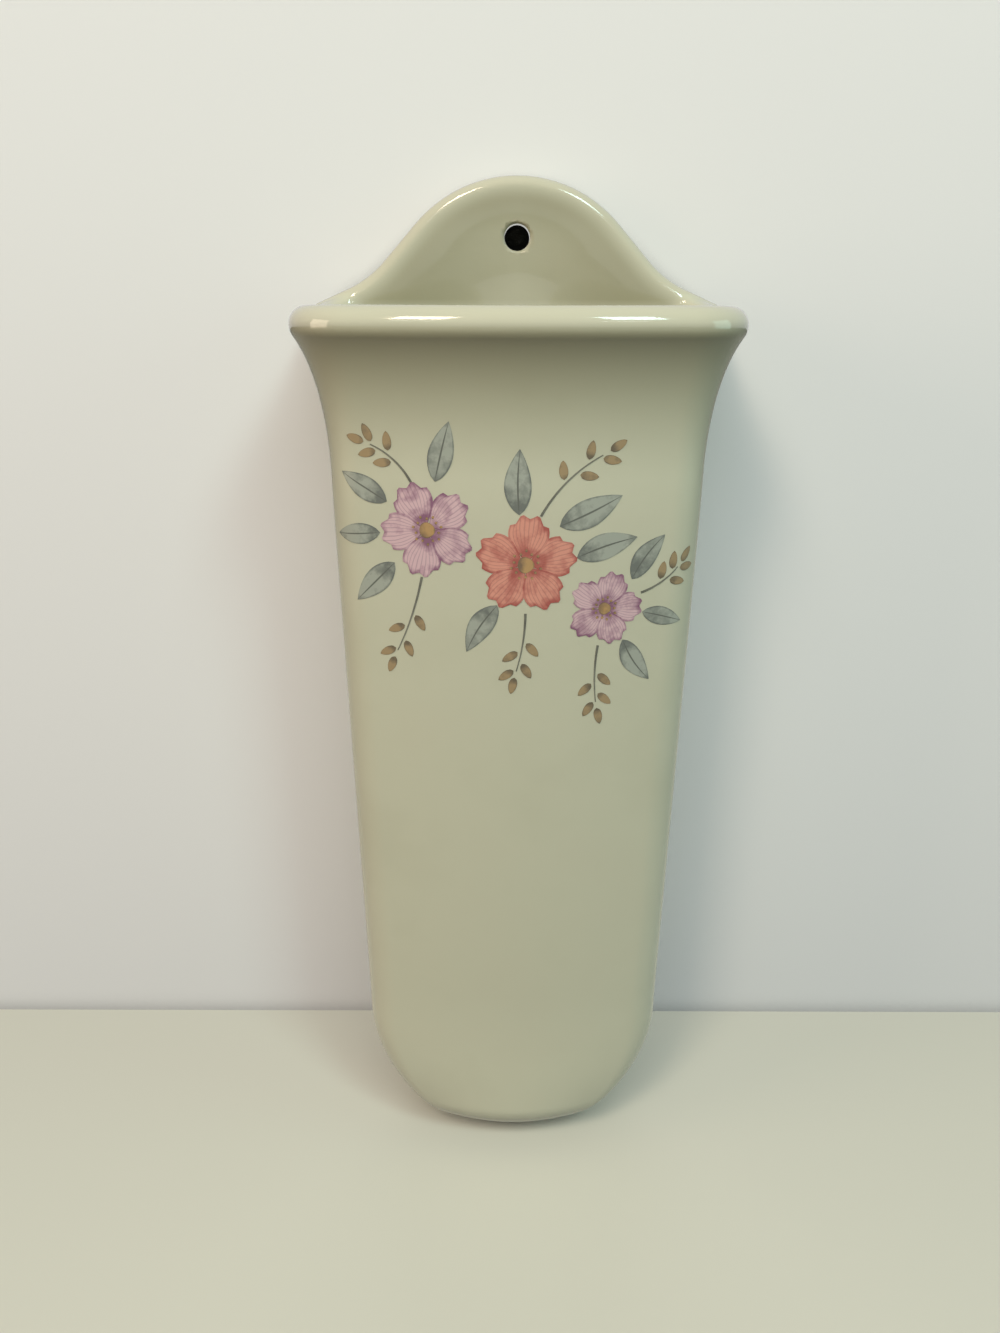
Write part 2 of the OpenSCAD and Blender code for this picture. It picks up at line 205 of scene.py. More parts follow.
def archField(x, z, v=body):
    # Distance from the arch's outline: crown, slope, hollow, foot and shoulder
    slope, foot = math.radians(v["archSlope"]), math.radians(v["footSlope"])
    crownZ = v["crownHeight"] - v["crownRadius"]
    steep = np.array([math.sin(slope), math.cos(slope)])
    shallow = np.array([math.sin(foot), math.cos(foot)])
    crownEnd = np.array([0.0, crownZ]) + steep * v["crownRadius"]
    edgeX = v["topHalf"] + v["rimReach"]
    footEnd = (np.array([edgeX - v["shoulderRadius"], v["rimTop"] - v["shoulderLow"]])
               + shallow * v["shoulderRadius"])
    downSteep = np.array([steep[1], -steep[0]])
    downShallow = np.array([shallow[1], -shallow[0]])
    gap = footEnd - crownEnd
    run = ((gap[0] * downShallow[1] - gap[1] * downShallow[0])
           / (downSteep[0] * downShallow[1] - downSteep[1] * downShallow[0]))
    knuckle = crownEnd + downSteep * run
    radius = v["hollowRadius"]
    hollow = knuckle - downSteep * radius * math.tan((slope - foot) / 2.0) + steep * radius

    onCrown = np.arctan2(x, z - crownZ) < slope
    crown = np.where(onCrown, np.hypot(x, z - crownZ) - v["crownRadius"],
                     (x - crownEnd[0]) * steep[0] + (z - crownEnd[1]) * steep[1])
    straightFoot = (x - footEnd[0]) * shallow[0] + (z - footEnd[1]) * shallow[1]
    angle = np.arctan2(hollow[0] - x, hollow[1] - z)
    inHollow = radius - np.hypot(hollow[0] - x, hollow[1] - z)
    arch = np.where(angle > slope, crown, np.where(angle < foot, straightFoot, inHollow))
    return arch, meetAtAngle(arch, x - edgeX, shallow[0], v["shoulderRadius"])


def clayParts(x, u, z, v=body):
    # Distances from the back plate and from the wall with its rim
    radius = v["beadRadius"]
    beadOut = v["rimReach"] - radius
    out = wallField(x, u, z, 0.0, v["low"], v["toeHeight"])
    inn = wallField(x, u, z, v["wall"], v["low"] + v["floor"], v["floorToe"])
    cove, coveSlope = coveCurve(z)
    drop = np.clip(beadMid - z, 0.0, beadMid - neckZ)
    acrossBead = np.sqrt(radius ** 2 - drop ** 2)
    reach = np.where(z > neckZ, beadOut + acrossBead, cove)
    slope = np.where(z > neckZ, drop / acrossBead, coveSlope)
    side = (out - reach) / np.sqrt(1.0 + slope ** 2)
    innerMost = v["wall"] + beadOut - radius
    innerSlope = np.where(cove < innerMost, coveSlope, 0.0)
    hollow = (inn - np.minimum(cove, innerMost)) / np.sqrt(1.0 + innerSlope ** 2)
    bead = np.hypot(out - beadOut, z - beadMid) - radius
    wall = np.where(z > beadMid, bead, np.maximum(side, -hollow))

    # The plate is rolled over along its edge, and its face sweeps down from there
    arch, outline = archField(x, z)
    outline = np.where(z > beadMid, outline, side)
    lipRadius = v["lipRadius"]
    rise = v["lipRise"] * smooth((z - beadMid) / 8.0 + 1.0)
    lipU = v["plate"] + rise - lipRadius
    beyond = outline + lipRadius
    lip = np.hypot(beyond, u - lipU)
    edge = np.where(u > lipU, lip - lipRadius, outline)
    turn = math.pi * clip01(-(arch + lipRadius) / v["sweep"])
    face = u - v["plate"] + v["dish"] - (rise + v["dish"]) * (0.5 + 0.5 * np.cos(turn))
    return np.where(beyond > 0.0, edge, face), wall


def clayField(points, v=body):
    x, u, z = np.abs(points[..., 0]), -points[..., 1], points[..., 2]
    plate, wall = clayParts(x, u, z)
    form = np.minimum(plate, wall)
    near = (np.abs(plate) < v["fillet"]) & (np.abs(wall) < v["fillet"])
    if near.any():
        # The fillet between plate and wall follows the angle at which they meet
        place = [x[near], u[near], z[near]]
        a, b = plate[near], wall[near]
        shift = 0.05
        total, sizeA, sizeB = 0.0, 1e-9, 1e-9
        for axis in range(3):
            moved = [value + shift if k == axis else value for k, value in enumerate(place)]
            moreA, moreB = clayParts(*moved)
            total = total + (moreA - a) * (moreB - b)
            sizeA, sizeB = sizeA + (moreA - a) ** 2, sizeB + (moreB - b) ** 2
        form[near] = -meetAtAngle(-a, -b, total / np.sqrt(sizeA * sizeB), v["fillet"])
    form = roundMeet(form, -u, v["backEdge"])
    return roundMeet(form, v["holeRadius"] - np.hypot(x, z), v["holeEdge"])


def clayNormal(points, step=0.04):
    # Direction of steepest rise of the field, with its size
    rise = np.empty_like(points)
    for axis in range(3):
        shift = np.zeros(3)
        shift[axis] = step
        rise[:, axis] = clayField(points + shift) - clayField(points - shift)
    return rise / (2.0 * step)


def settle(points, rounds=4, furthest=1.0):
    # Moves points onto the glaze along the field's own direction
    for _ in range(rounds):
        value = clayField(points)
        rise = clayNormal(points)
        size = np.maximum((rise ** 2).sum(1), 0.05)
        move = np.clip(value / size, -furthest, furthest)
        points = points - rise * move[:, None]
    return points


def steps(stops):
    # Grid lines from one stop to the next, each stretch with its own spacing
    lines = [stops[0][0]]
    for (start, size), (end, _) in zip(stops, stops[1:]):
        count = max(int(round((end - start) / size)), 1)
        lines += [start + (end - start) * i / count for i in range(1, count + 1)]
    return np.array(lines)


def netOverField(xs, ys, zs):
    # Surface net: a point in each cell that the surface crosses, a face for each edge
    grid = np.stack(np.meshgrid(xs, ys, zs, indexing="ij"), axis=-1)
    value = clayField(grid.reshape(-1, 3)).reshape(grid.shape[:3])
    inside = value < 0.0
    total = np.zeros(tuple(n - 1 for n in value.shape) + (3,))
    count = np.zeros(total.shape[:3])
    crossings = []
    for axis in range(3):
        first = [slice(None)] * 3
        second = [slice(None)] * 3
        first[axis], second[axis] = slice(0, -1), slice(1, None)
        first, second = tuple(first), tuple(second)
        crossed = inside[first] != inside[second]
        share = np.where(crossed, value[first] / (value[first] - value[second] + 1e-12), 0.0)
        place = grid[first] + (grid[second] - grid[first]) * share[..., None]
        crossings.append(crossed)
        others = [i for i in range(3) if i != axis]
        for da in (0, 1):
            for db in (0, 1):
                cut = [slice(None)] * 3
                cut[others[0]] = slice(da, value.shape[others[0]] - 1 + da)
                cut[others[1]] = slice(db, value.shape[others[1]] - 1 + db)
                cut = tuple(cut)
                hit = crossed[cut]
                total += np.where(hit[..., None], place[cut], 0.0)
                count += hit
    used = count > 0
    number = np.full(used.shape, -1)
    number[used] = np.arange(used.sum())
    points = total[used] / count[used][:, None]

    faces = []
    for axis, crossed in enumerate(crossings):
        b, c = (axis + 1) % 3, (axis + 2) % 3
        index = np.argwhere(crossed)
        keep = (index[:, b] > 0) & (index[:, c] > 0)
        keep &= (index[:, b] < value.shape[b] - 1) & (index[:, c] < value.shape[c] - 1)
        index = index[keep]
        corners = []
        for db, dc in ((-1, -1), (0, -1), (0, 0), (-1, 0)):
            cell = index.copy()
            cell[:, b] += db
            cell[:, c] += dc
            corners.append(number[tuple(cell.T)])
        quads = np.stack(corners, axis=1)
        flip = ~inside[tuple(index.T)]
        quads[flip] = quads[flip][:, ::-1]
        faces.append(quads)
    return points, np.concatenate(faces)


def middleOf(points, faces, trusted):
    # The middle of each point's trusted neighbours
    edges = np.concatenate([faces[:, [i, (i + 1) % 4]] for i in range(4)])
    edges = edges[trusted[edges[:, 1]]]
    middle = np.zeros_like(points)
    count = np.zeros(len(points))
    np.add.at(middle, edges[:, 0], points[edges[:, 1]])
    np.add.at(count, edges[:, 0], 1.0)
    return middle / np.maximum(count, 1.0)[:, None]


def relax(points, faces, rounds):
    # Evens out the net along the surface, settling it again each time
    everyPoint = np.ones(len(points), bool)
    for _ in range(rounds):
        middle = middleOf(points, faces, everyPoint)
        points = settle(points + (middle - points) * 0.6, rounds=1)
    return points


def meshFrom(name, points, faces, material=None):
    mesh = bpy.data.meshes.new(name)
    mesh.from_pydata((np.asarray(points) * mm).tolist(), [], [list(f) for f in faces])
    mesh.validate()
    mesh.polygons.foreach_set("use_smooth", [True] * len(mesh.polygons))
    if material:
        mesh.materials.append(material)
    piece = bpy.data.objects.new(name, mesh)
    scene.collection.objects.link(piece)
    return piece


def glazePoolAndShade(points, v=body):
    # Glaze lying thick, and painted shade: darker up the cove, under the bead and in the dished
    # head, most towards its sides and crown
    x, u, z = np.abs(points[:, 0]), -points[:, 1], points[:, 2]
    cove = clip01((z - coveFoot) / (neckZ - coveFoot)) ** v["poolAndShadePower"]
    cove = cove * smooth((beadMid + 1.0 - z) / 3.0) * smooth((u - 1.0) / 4.0)
    arch, outline = archField(x, z)
    face = smooth((v["plate"] + 3.0 - u) / 2.0) * smooth((u - 2.0) / 2.0)
    face = face * smooth((z - v["rimTop"] + 1.0) / 3.0)
    face = face * smooth((-outline - v["poolAndShadeEdge"]) / v["poolAndShadeFade"])
    middle, sides, crown = v["headPoolAndShade"]
    head = middle + sides * clip01(x / 26.0) + crown * smooth(z / v["crownHeight"])
    return clip01(np.maximum(cove, face * head))


def makeBody(values, material):
    fine, pad = values["fineStep"], 2.0
    wide, deepBand = values["fineAcross"], values["fineDeep"]
    baseTop, coveLow, rimLow = values["levels"]
    across = values["topHalf"] + values["rimReach"] + pad
    deepest = values["topDepth"] + values["rimReach"] + pad
    xs = steps([(-across, fine), (-wide, values["sideStep"]), (wide, fine), (across, fine)])
    ys = steps([(-deepest, fine), (deepBand - deepest, values["rimStep"]), (-deepBand, fine),
                (pad, fine)])
    zs = steps([(values["low"] - pad, values["baseStep"]), (baseTop, values["bodyStep"]),
                (coveLow, values["coveStep"]), (rimLow, fine), (values["crownHeight"] + pad, fine)])
    points, faces = netOverField(xs, ys, zs)
    points = settle(points)
    points = relax(points, faces, 5)
    points = settle(points, rounds=3)
    # A point that went astray, where the floor closes, goes back between its neighbours
    trusted = np.abs(clayField(points)) < values["astray"]
    points[~trusted] = middleOf(points, faces, trusted)[~trusted]
    points = np.clip(points, np.array(cadBox[0]) / mm, np.array(cadBox[1]) / mm)
    print("body net:", len(points), "points,", len(faces), "faces")
    piece = meshFrom("glazed_body", points, faces, material)
    rise = clayNormal(points)
    rise /= np.maximum(np.linalg.norm(rise, axis=1), 1e-6)[:, None]
    piece.data.normals_split_custom_set_from_vertices(rise.tolist())

    # How sharply the clay bends outwards, for where the glaze runs thin and for the painted shade
    # on the lit bead and lip
    reach = values["bendReach"]
    around = [clayField(points + reach * way * np.eye(3)[axis])
              for axis in range(3) for way in (1.0, -1.0)]
    bend = (sum(around) - 6.0 * clayField(points)) / reach ** 2
    bend = np.clip(bend, -values["bendMost"], values["bendMost"])
    # pool holds glaze lying thick together with painted shade
    for name, layerValues in (("bend", bend), ("pool", glazePoolAndShade(points))):
        layer = piece.data.attributes.new(name, "FLOAT", "POINT")
        layer.data.foreach_set("value", layerValues)
    return piece


# Node helpers shared by every finish and by the print's trees
def fill(tree, node, inputs):
    # Each named or numbered input gets another node's socket or a plain value
    for name, value in inputs.items():
        if isinstance(value, bpy.types.NodeSocket):
            tree.links.new(value, node.inputs[name])
        else:
            node.inputs[name].default_value = value


def addNode(tree, kind, inputs=None, **settings):
    # Nodes stand in rows of ten, in the order in which they are made
    node = tree.nodes.new(kind)
    row, column = divmod(len(tree.nodes) - 1, 10)
    node.location = (column * 200, -row * 320)
    for name, value in settings.items():
        setattr(node, name, value)
    fill(tree, node, inputs or {})
    return node


def srgb(r, g, b):
    def linear(c):
        c /= 255.0
        return c / 12.92 if c <= 0.04045 else ((c + 0.055) / 1.055) ** 2.4
    return (linear(r), linear(g), linear(b), 1.0)


def newTree(name, kind, ins, outs):
    # A node group with its inputs and outputs, each with its kind and perhaps a value
    tree = bpy.data.node_groups.new(name, kind)
    for way, rows in (("INPUT", ins), ("OUTPUT", outs)):
        for label, socketKind, *value in rows:
            socket = tree.interface.new_socket(label, in_out=way,
                                               socket_type="NodeSocket" + socketKind)
            if value:
                socket.default_value = value[0]
    return tree, addNode(tree, "NodeGroupInput").outputs, addNode(tree, "NodeGroupOutput")


def mixColours(tree, share, first, second):
    return addNode(tree, "ShaderNodeMix", {0: share, 6: first, 7: second},
                   data_type="RGBA").outputs[2]


def mathNode(tree, operation, first, second=0.0, clamp=False):
    return addNode(tree, "ShaderNodeMath", {0: first, 1: second}, operation=operation,
                   use_clamp=clamp).outputs[0]


def mathChain(tree, value, *moves):
    # Math nodes in a row, each with its operation and its second value
    for move in moves:
        value = mathNode(tree, move[0], value, *move[1:])
    return value


def rangeNode(tree, value, low, high, toLow=0.0, toHigh=1.0):
    return addNode(tree, "ShaderNodeMapRange", dict(enumerate((value, low, high, toLow, toHigh))),
                   interpolation_type="SMOOTHSTEP").outputs[0]


# pooled: darker glaze for the clouds, for glaze lying thick and for painted shade in the cove and
# head
glazeValues = {"ivory": srgb(196, 195, 171), "pooledAndShade": srgb(146, 142, 112),
               # thin: for the clouds, for glaze run thin on edges and for painted shade that dims
               # the lit bead and lip
               "thin": srgb(192, 186, 162), "speck": srgb(88, 70, 48),
               "roughness": (0.07, 0.11), "coat": 0.6, "coatRoughness": 0.03,
               "cloudPool": 0.1, "cloudThin": 0.15, "thinEdgeAndShadeShare": 0.5,
               "speckRarity": 0.93, "speckStrength": 0.75, "ripple": 0.04, "rippleHeight": 0.0006}


def glazeGroup():
    # Ivory glaze: cloudy where it ran thick or thin, tiny iron specks, a soft ripple, and painted
    # shade: darker in the cove, under the bead and in the head, and on the lit bead and lip
    v = glazeValues
    group, given, end = newTree(
        "ivoryGlaze", "ShaderNodeTree",
        [("Ivory", "Color", v["ivory"]), ("Pooled", "Color", v["pooledAndShade"]),
         ("Thin", "Color", v["thin"]), ("Speck", "Color", v["speck"]),
         ("Ripple", "Float", v["ripple"])],
        [("Colour", "Color"), ("Roughness", "Float"), ("Normal", "Vector")])
    place = addNode(group, "ShaderNodeTexCoord").outputs["Object"]
    clouds = addNode(group, "ShaderNodeTexNoise", {
        "Vector": place, "Scale": 34.0, "Detail": 3.0, "Roughness": 0.5}).outputs["Fac"]
    pool = rangeNode(group, clouds, 0.42, 0.72, 0.0, v["cloudPool"])
    thin = rangeNode(group, clouds, 0.52, 0.28, 0.0, v["cloudThin"])
    colour = mixColours(group, pool, given["Ivory"], given["Pooled"])
    colour = mixColours(group, thin, colour, given["Thin"])
    bend = addNode(group, "ShaderNodeAttribute", attribute_name="bend").outputs["Fac"]
    # Painted shade dims the lit bead and lip, where the glaze also runs thin on the sharp bends
    thinEdgeAndShade = rangeNode(group, bend, 0.1, 0.4, 0.0, v["thinEdgeAndShadeShare"])
    # Glaze lying thick, and painted shade in the cove, under the bead and in the head
    thick = addNode(group, "ShaderNodeAttribute", attribute_name="pool").outputs["Fac"]
    colour = mixColours(group, thinEdgeAndShade, colour, given["Thin"])
    colour = mixColours(group, thick, colour, given["Pooled"])

    cells = addNode(group, "ShaderNodeTexVoronoi", {"Vector": place, "Scale": 105.0},
                    feature="F1").outputs
    dot = rangeNode(group, cells["Distance"], 0.026, 0.012)
    rare = addNode(group, "ShaderNodeSeparateColor", {0: cells["Color"]}).outputs[0]
    few = mathNode(group, "GREATER_THAN", rare, v["speckRarity"])
    speck = mathChain(group, dot, ("MULTIPLY", few), ("MULTIPLY", v["speckStrength"]))
    rough = rangeNode(group, clouds, 0.3, 0.7, *v["roughness"])
    wavy = addNode(group, "ShaderNodeTexNoise", {"Vector": place, "Scale": 60.0, "Detail": 1.0})
    bump = addNode(group, "ShaderNodeBump", {
        "Distance": v["rippleHeight"], "Strength": given["Ripple"], "Height": wavy.outputs["Fac"]})
    fill(group, end, {"Colour": mixColours(group, speck, colour, given["Speck"]),
                      "Roughness": rough, "Normal": bump.outputs["Normal"]})
    return group


def newMaterial(name):
    material = bpy.data.materials.new(name)
    material.use_nodes = True
    tree = material.node_tree
    tree.nodes.clear()
    shader = addNode(tree, "ShaderNodeBsdfPrincipled")
    addNode(tree, "ShaderNodeOutputMaterial", {0: shader.outputs[0]})
    return material, tree, shader


def finishGlaze(tree, shader):
    # The gloss that the body and the print under the glaze share
    glaze = addNode(tree, "ShaderNodeGroup", node_tree=glazeTree).outputs
    fill(tree, shader, {"IOR": 1.52, "Coat IOR": 1.5, "Coat Weight": glazeValues["coat"],
                        "Coat Roughness": glazeValues["coatRoughness"],
                        "Roughness": glaze["Roughness"], "Normal": glaze["Normal"]})
    return glaze["Colour"]


def glazedClay():
    material, tree, shader = newMaterial("ivory_glazed_clay")
    fill(tree, shader, {"Base Color": finishGlaze(tree, shader)})
    return material


glazeTree = glazeGroup()
clayMaterial = glazedClay()
glazedBody = makeBody(body, clayMaterial)
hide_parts("back_plate", "front_wall", "rounded_base", "rolled_rim", "head_roll")
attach(glazedBody, "root")
print("body made")


# The printed sprig. Its parts are laid out flat, with s along the front's curve and z up,
# and then wrapped round the front and settled on the glaze.
sprig = {
    "drop": 73.97, "centreShare": 0.24, "petals": 5, "petalHalf": 0.7, "petalWave": 0.05,
    "stamens": 14, "stamenLength": 0.75, "stamenRing": 1.25, "stamenTint": 0.6,
    "eyeShare": 0.72, "eyeLift": 0.09,
    "coral": (2.0, 0.0, 11.5, 12.0), "mauve": (-21.0, 8.0, 11.0, 40.0),
    "mauveSmall": (21.0, -11.0, 9.0, 0.0),
    "leafShare": 0.42, "leafGap": 0.5, "stemWidth": 0.6, "budLength": 4.4, "budWidth": 2.1,
    "lift": 0.03, "thick": 0.06,
}
leafRows = [("mauve", 185, 0, 12), ("mauve", 146, 4, 13), ("mauve", 80, -4, 14),
            ("mauve", 225, 0, 14), ("coral", 98, -8, 15), ("coral", 50, -24, 16),
            ("coral", 8, 10, 15), ("coral", 236, 2, 14), ("mauveSmall", 48, 6, 13),
            ("mauveSmall", 352, -8, 11), ("mauveSmall", 300, 4, 13)]
sprayRows = [("coral", 74, -12, -34, 20), ("mauve", 262, -4, -14, 20),
             ("mauveSmall", 262, 0, 16, 15), ("mauve", 108, 10, 40, 13),
             ("coral", 270, 0, -16, 15), ("mauveSmall", 22, -4, 30, 11)]
budRows = [(0.45, 48), (0.62, -48), (0.8, 44), (0.94, -40), (1.04, 4)]


def blossomPlace(name):
    s, rise, radius, turn = sprig[name]
    return np.array([s, rise - sprig["drop"]]), radius, turn


def heading(degrees):
    return np.array([math.cos(math.radians(degrees)), math.sin(math.radians(degrees))])


def onFront(flat, v=body):
    # Wraps flat [s, z] points round the front, as the wall's own section runs
    s, z = flat[:, 0], flat[:, 1]
    out, _ = coveCurve(z)
    half, deep = sectionSize(z, out)
    corner, bow = v["corner"] + out, v["bow"] + out
    cornerX = half - corner
    cornerU = deep - bow + np.sqrt((bow - corner) ** 2 - cornerX ** 2)
    turn = np.arctan2(cornerU - deep + bow, cornerX)
    bowLength = bow * (math.pi / 2 - turn)
    far = np.abs(s)
    onBow = math.pi / 2 - far / bow
    inCorner = turn - (far - bowLength) / corner
    x = np.where(far < bowLength, bow * np.cos(onBow), cornerX + corner * np.cos(inCorner))
    u = np.where(far < bowLength, deep - bow + bow * np.sin(onBow),
                 cornerU + corner * np.sin(inCorner))
    return np.stack([np.sign(s) * x, -u, z], axis=1)


# Geometry Nodes for the print: each patch is drawn once, flat, and set on points or paths
def printTree(name, ins):
    shape = [("Geometry", "Geometry")]
    return newTree(name, "GeometryNodeTree", shape + ins, shape)


def vectorNode(tree, x, y, z=0.0):
    return addNode(tree, "ShaderNodeCombineXYZ", {0: x, 1: y, 2: z}).outputs[0]


def attributeNode(tree, name):
    return addNode(tree, "GeometryNodeInputNamedAttribute", {"Name": name},
                   data_type="FLOAT").outputs["Attribute"]


def storeNode(tree, shape, name, value, kind="FLOAT", domain="POINT"):
    return addNode(tree, "GeometryNodeStoreNamedAttribute",
                   {"Name": name, "Geometry": shape, "Value": value},
                   data_type=kind, domain=domain).outputs[0]


def moveNode(tree, shape, name, value):
    return addNode(tree, "GeometryNodeSetPosition", {"Geometry": shape, name: value}).outputs[0]


def scaledNode(tree, vector, size):
    return addNode(tree, "ShaderNodeVectorMath", {0: vector, "Scale": size},
                   operation="SCALE").outputs[0]


def diceNode(tree, given, low, high):
    return addNode(tree, "FunctionNodeRandomValue", {2: low, 3: high, "Seed": given["Seed"]},
                   data_type="FLOAT").outputs[1]


def realNode(tree, shape):
    return addNode(tree, "GeometryNodeRealizeInstances", {0: shape}).outputs[0]


def patchGrid(tree, given):
    # A unit patch with its u and v, and its two directions as fields
    grid = addNode(tree, "GeometryNodeMeshGrid", {"Vertices X": given["Rows"],
                                                  "Vertices Y": given["Columns"]})
    place = addNode(tree, "GeometryNodeInputPosition").outputs[0]
    split = addNode(tree, "ShaderNodeSeparateXYZ", {0: place}).outputs
    along = mathNode(tree, "ADD", split[0], 0.5)
    across = mathNode(tree, "MULTIPLY", split[1], 2.0)
    uv = vectorNode(tree, mathNode(tree, "ADD", split[1], 0.5), along)
    shape = storeNode(tree, grid.outputs["Mesh"], "UVMap", uv, "FLOAT2", "CORNER")
    return storeNode(tree, shape, "along", along), along, across


def copiesRound(tree, given, count):
    # Each point again, count times, with the direction of each copy
    copies = addNode(tree, "GeometryNodeDuplicateElements",
                     {"Geometry": given["Geometry"], "Amount": count}, domain="POINT").outputs
    number = copies["Duplicate Index"]
    turn = mathChain(tree, number, ("MULTIPLY", 2.0 * math.pi), ("DIVIDE", count),
                     ("ADD", attributeNode(tree, "angle")))
    return copies["Geometry"], number, turn


def paintAndEnd(tree, given, end, shape):
    paint = addNode(tree, "GeometryNodeSetMaterial", {"Geometry": shape,
                                                      "Material": given["Material"]})
    fill(tree, end, {0: paint.outputs[0]})


def setOnPoints(tree, given, end, points, patch, turn, size, bend=False):
    points = storeNode(tree, points, "turn", turn)
    spin = addNode(tree, "FunctionNodeEulerToRotation", {0: vectorNode(tree, 0.0, 0.0, turn)})
    put = addNode(tree, "GeometryNodeInstanceOnPoints", {
        "Points": points, "Instance": patch, "Rotation": spin.outputs[0], "Scale": size})
    shape = realNode(tree, put.outputs[0])
    if bend:
        # A slight lean to one side, different on each blade
        way = attributeNode(tree, "turn")
        swell = mathChain(tree, attributeNode(tree, "along"), ("MULTIPLY", math.pi), ("SINE",),
                          ("MULTIPLY", attributeNode(tree, "bend")))
        left = mathChain(tree, way, ("SINE",), ("MULTIPLY", -1.0))
        side = vectorNode(tree, left, mathNode(tree, "COSINE", way))
        shape = moveNode(tree, shape, "Offset", scaledNode(tree, side, swell))
    paintAndEnd(tree, given, end, shape)


def bladeTree():
    # Pointed or oval blades, one on each point or a ring of them round it
    tree, given, end = printTree("printedBlades", [
        ("Rows", "Int", 15), ("Columns", "Int", 9), ("Width Share", "Float", 0.42),
        ("Form", "Float", 0.85), ("Blunt", "Float", 0.004), ("Count", "Int", 1),
        ("Stagger", "Float", 0.0), ("Material", "Material")])
    patch, along, across = patchGrid(tree, given)
    swell = mathChain(tree, along, ("POWER", 0.82), ("MULTIPLY", math.pi), ("SINE",),
                      ("MAXIMUM", 0.0), ("POWER", given["Form"]))
    half = mathNode(tree, "MULTIPLY", given["Width Share"], 0.5)
    side = mathChain(tree, swell, ("MULTIPLY", half), ("MAXIMUM", given["Blunt"]),
                     ("MULTIPLY", across))
    patch = moveNode(tree, patch, "Position", vectorNode(tree, along, side))
    points, number, turn = copiesRound(tree, given, given["Count"])
    # Every second copy stands further out
    ring = mathChain(tree, number, ("MODULO", 2.0), ("MULTIPLY", given["Stagger"]), ("ADD", 1.0),
                     ("MULTIPLY", attributeNode(tree, "ring")))
    away = vectorNode(tree, mathNode(tree, "COSINE", turn), mathNode(tree, "SINE", turn))
    points = moveNode(tree, points, "Offset", scaledNode(tree, away, ring))
    setOnPoints(tree, given, end, points, patch, turn, attributeNode(tree, "size"), bend=True)
    return tree


def petalTree():
    # Petals with a wavy edge round each point
    tree, given, end = printTree("printedPetals", [
        ("Rows", "Int", 13), ("Columns", "Int", 15), ("Petals", "Int", 5),
        ("Half Width", "Float", 0.7), ("Shoulder Fall", "Float", 0.16), ("Wave", "Float", 0.05),
        ("Seed", "Int", 3), ("Material", "Material")])
    patch, along, across = patchGrid(tree, given)
    along = mathChain(tree, along, ("MULTIPLY", 0.95), ("ADD", 0.05))
    spread = mathChain(tree, along, ("MULTIPLY", 0.66), ("ADD", 0.12), ("POWER", 0.9),
                       ("MULTIPLY", math.pi), ("SINE",), ("POWER", 0.8))
    angle = mathChain(tree, across, ("MULTIPLY", given["Half Width"]), ("MULTIPLY", spread))
    fall = mathChain(tree, across, ("ABSOLUTE",), ("POWER", 2.2),
                     ("MULTIPLY", given["Shoulder Fall"]))
    wave = mathChain(tree, across, ("MULTIPLY", 9.0), ("COSINE",), ("MULTIPLY", given["Wave"]))
    reach = mathNode(tree, "SUBTRACT", 1.0, fall)
    reach = mathChain(tree, reach, ("SUBTRACT", wave), ("MULTIPLY", along))
    x, y = (mathNode(tree, "MULTIPLY", reach, mathNode(tree, way, angle))
            for way in ("COSINE", "SINE"))
    patch = moveNode(tree, patch, "Position", vectorNode(tree, x, y))
    points, number, turn = copiesRound(tree, given, given["Petals"])
    turn = mathNode(tree, "ADD", turn, diceNode(tree, given, -0.07, 0.07))
    points = storeNode(tree, points, "tint", diceNode(tree, given, -0.6, 0.6))
    points = storeNode(tree, points, "lift", mathNode(tree, "MULTIPLY", number, 0.012))
    size = mathNode(tree, "MULTIPLY", attributeNode(tree, "size"),
                    diceNode(tree, given, 0.95, 1.03))
    setOnPoints(tree, given, end, points, patch, turn, size)
    return tree


def stemTree():
    # A flat brush line along each path, as wide as the path's radius says
    tree, given, end = printTree("printedStems", [("Width", "Float", 0.6),
                                                  ("Material", "Material")])
    share = addNode(tree, "GeometryNodeSplineParameter").outputs["Factor"]
    path = storeNode(tree, given["Geometry"], "along", share)
    flat = addNode(tree, "GeometryNodeSetCurveNormal", {"Curve": path}, mode="Z_UP").outputs[0]
    half = mathNode(tree, "MULTIPLY", given["Width"], 0.5)
    back = mathNode(tree, "MULTIPLY", half, -1.0)
    line = addNode(tree, "GeometryNodeCurvePrimitiveLine", {
        "Start": vectorNode(tree, half, 0.0), "End": vectorNode(tree, back, 0.0)}).outputs[0]
    brush = storeNode(tree, line, "across", share)
    radius = addNode(tree, "GeometryNodeInputRadius").outputs[0]
    sweep = addNode(tree, "GeometryNodeCurveToMesh", {
        "Curve": flat, "Profile Curve": brush, "Scale": radius}).outputs[0]
    uv = vectorNode(tree, attributeNode(tree, "across"), attributeNode(tree, "along"))
    shape = storeNode(tree, sweep, "UVMap", uv, "FLOAT2", "CORNER")
    paintAndEnd(tree, given, end, realNode(tree, shape))
    return tree


def runTree(source, tree, values):
    # Runs a tree on its points or paths and gives back the plain flat mesh
    scene.collection.objects.link(source)
    modifier = source.modifiers.new("print", "NODES")
    modifier.node_group = tree
    for item in tree.interface.items_tree:
        if item.in_out == "INPUT" and item.name in values:
            modifier[item.identifier] = values[item.name]
    depsgraph = bpy.context.evaluated_depsgraph_get()
    flat = bpy.data.meshes.new_from_object(source.evaluated_get(depsgraph))
    source.modifiers.remove(modifier)
    data = source.data
    bpy.data.objects.remove(source)
    (bpy.data.meshes if isinstance(data, bpy.types.Mesh) else bpy.data.curves).remove(data)
    return flat


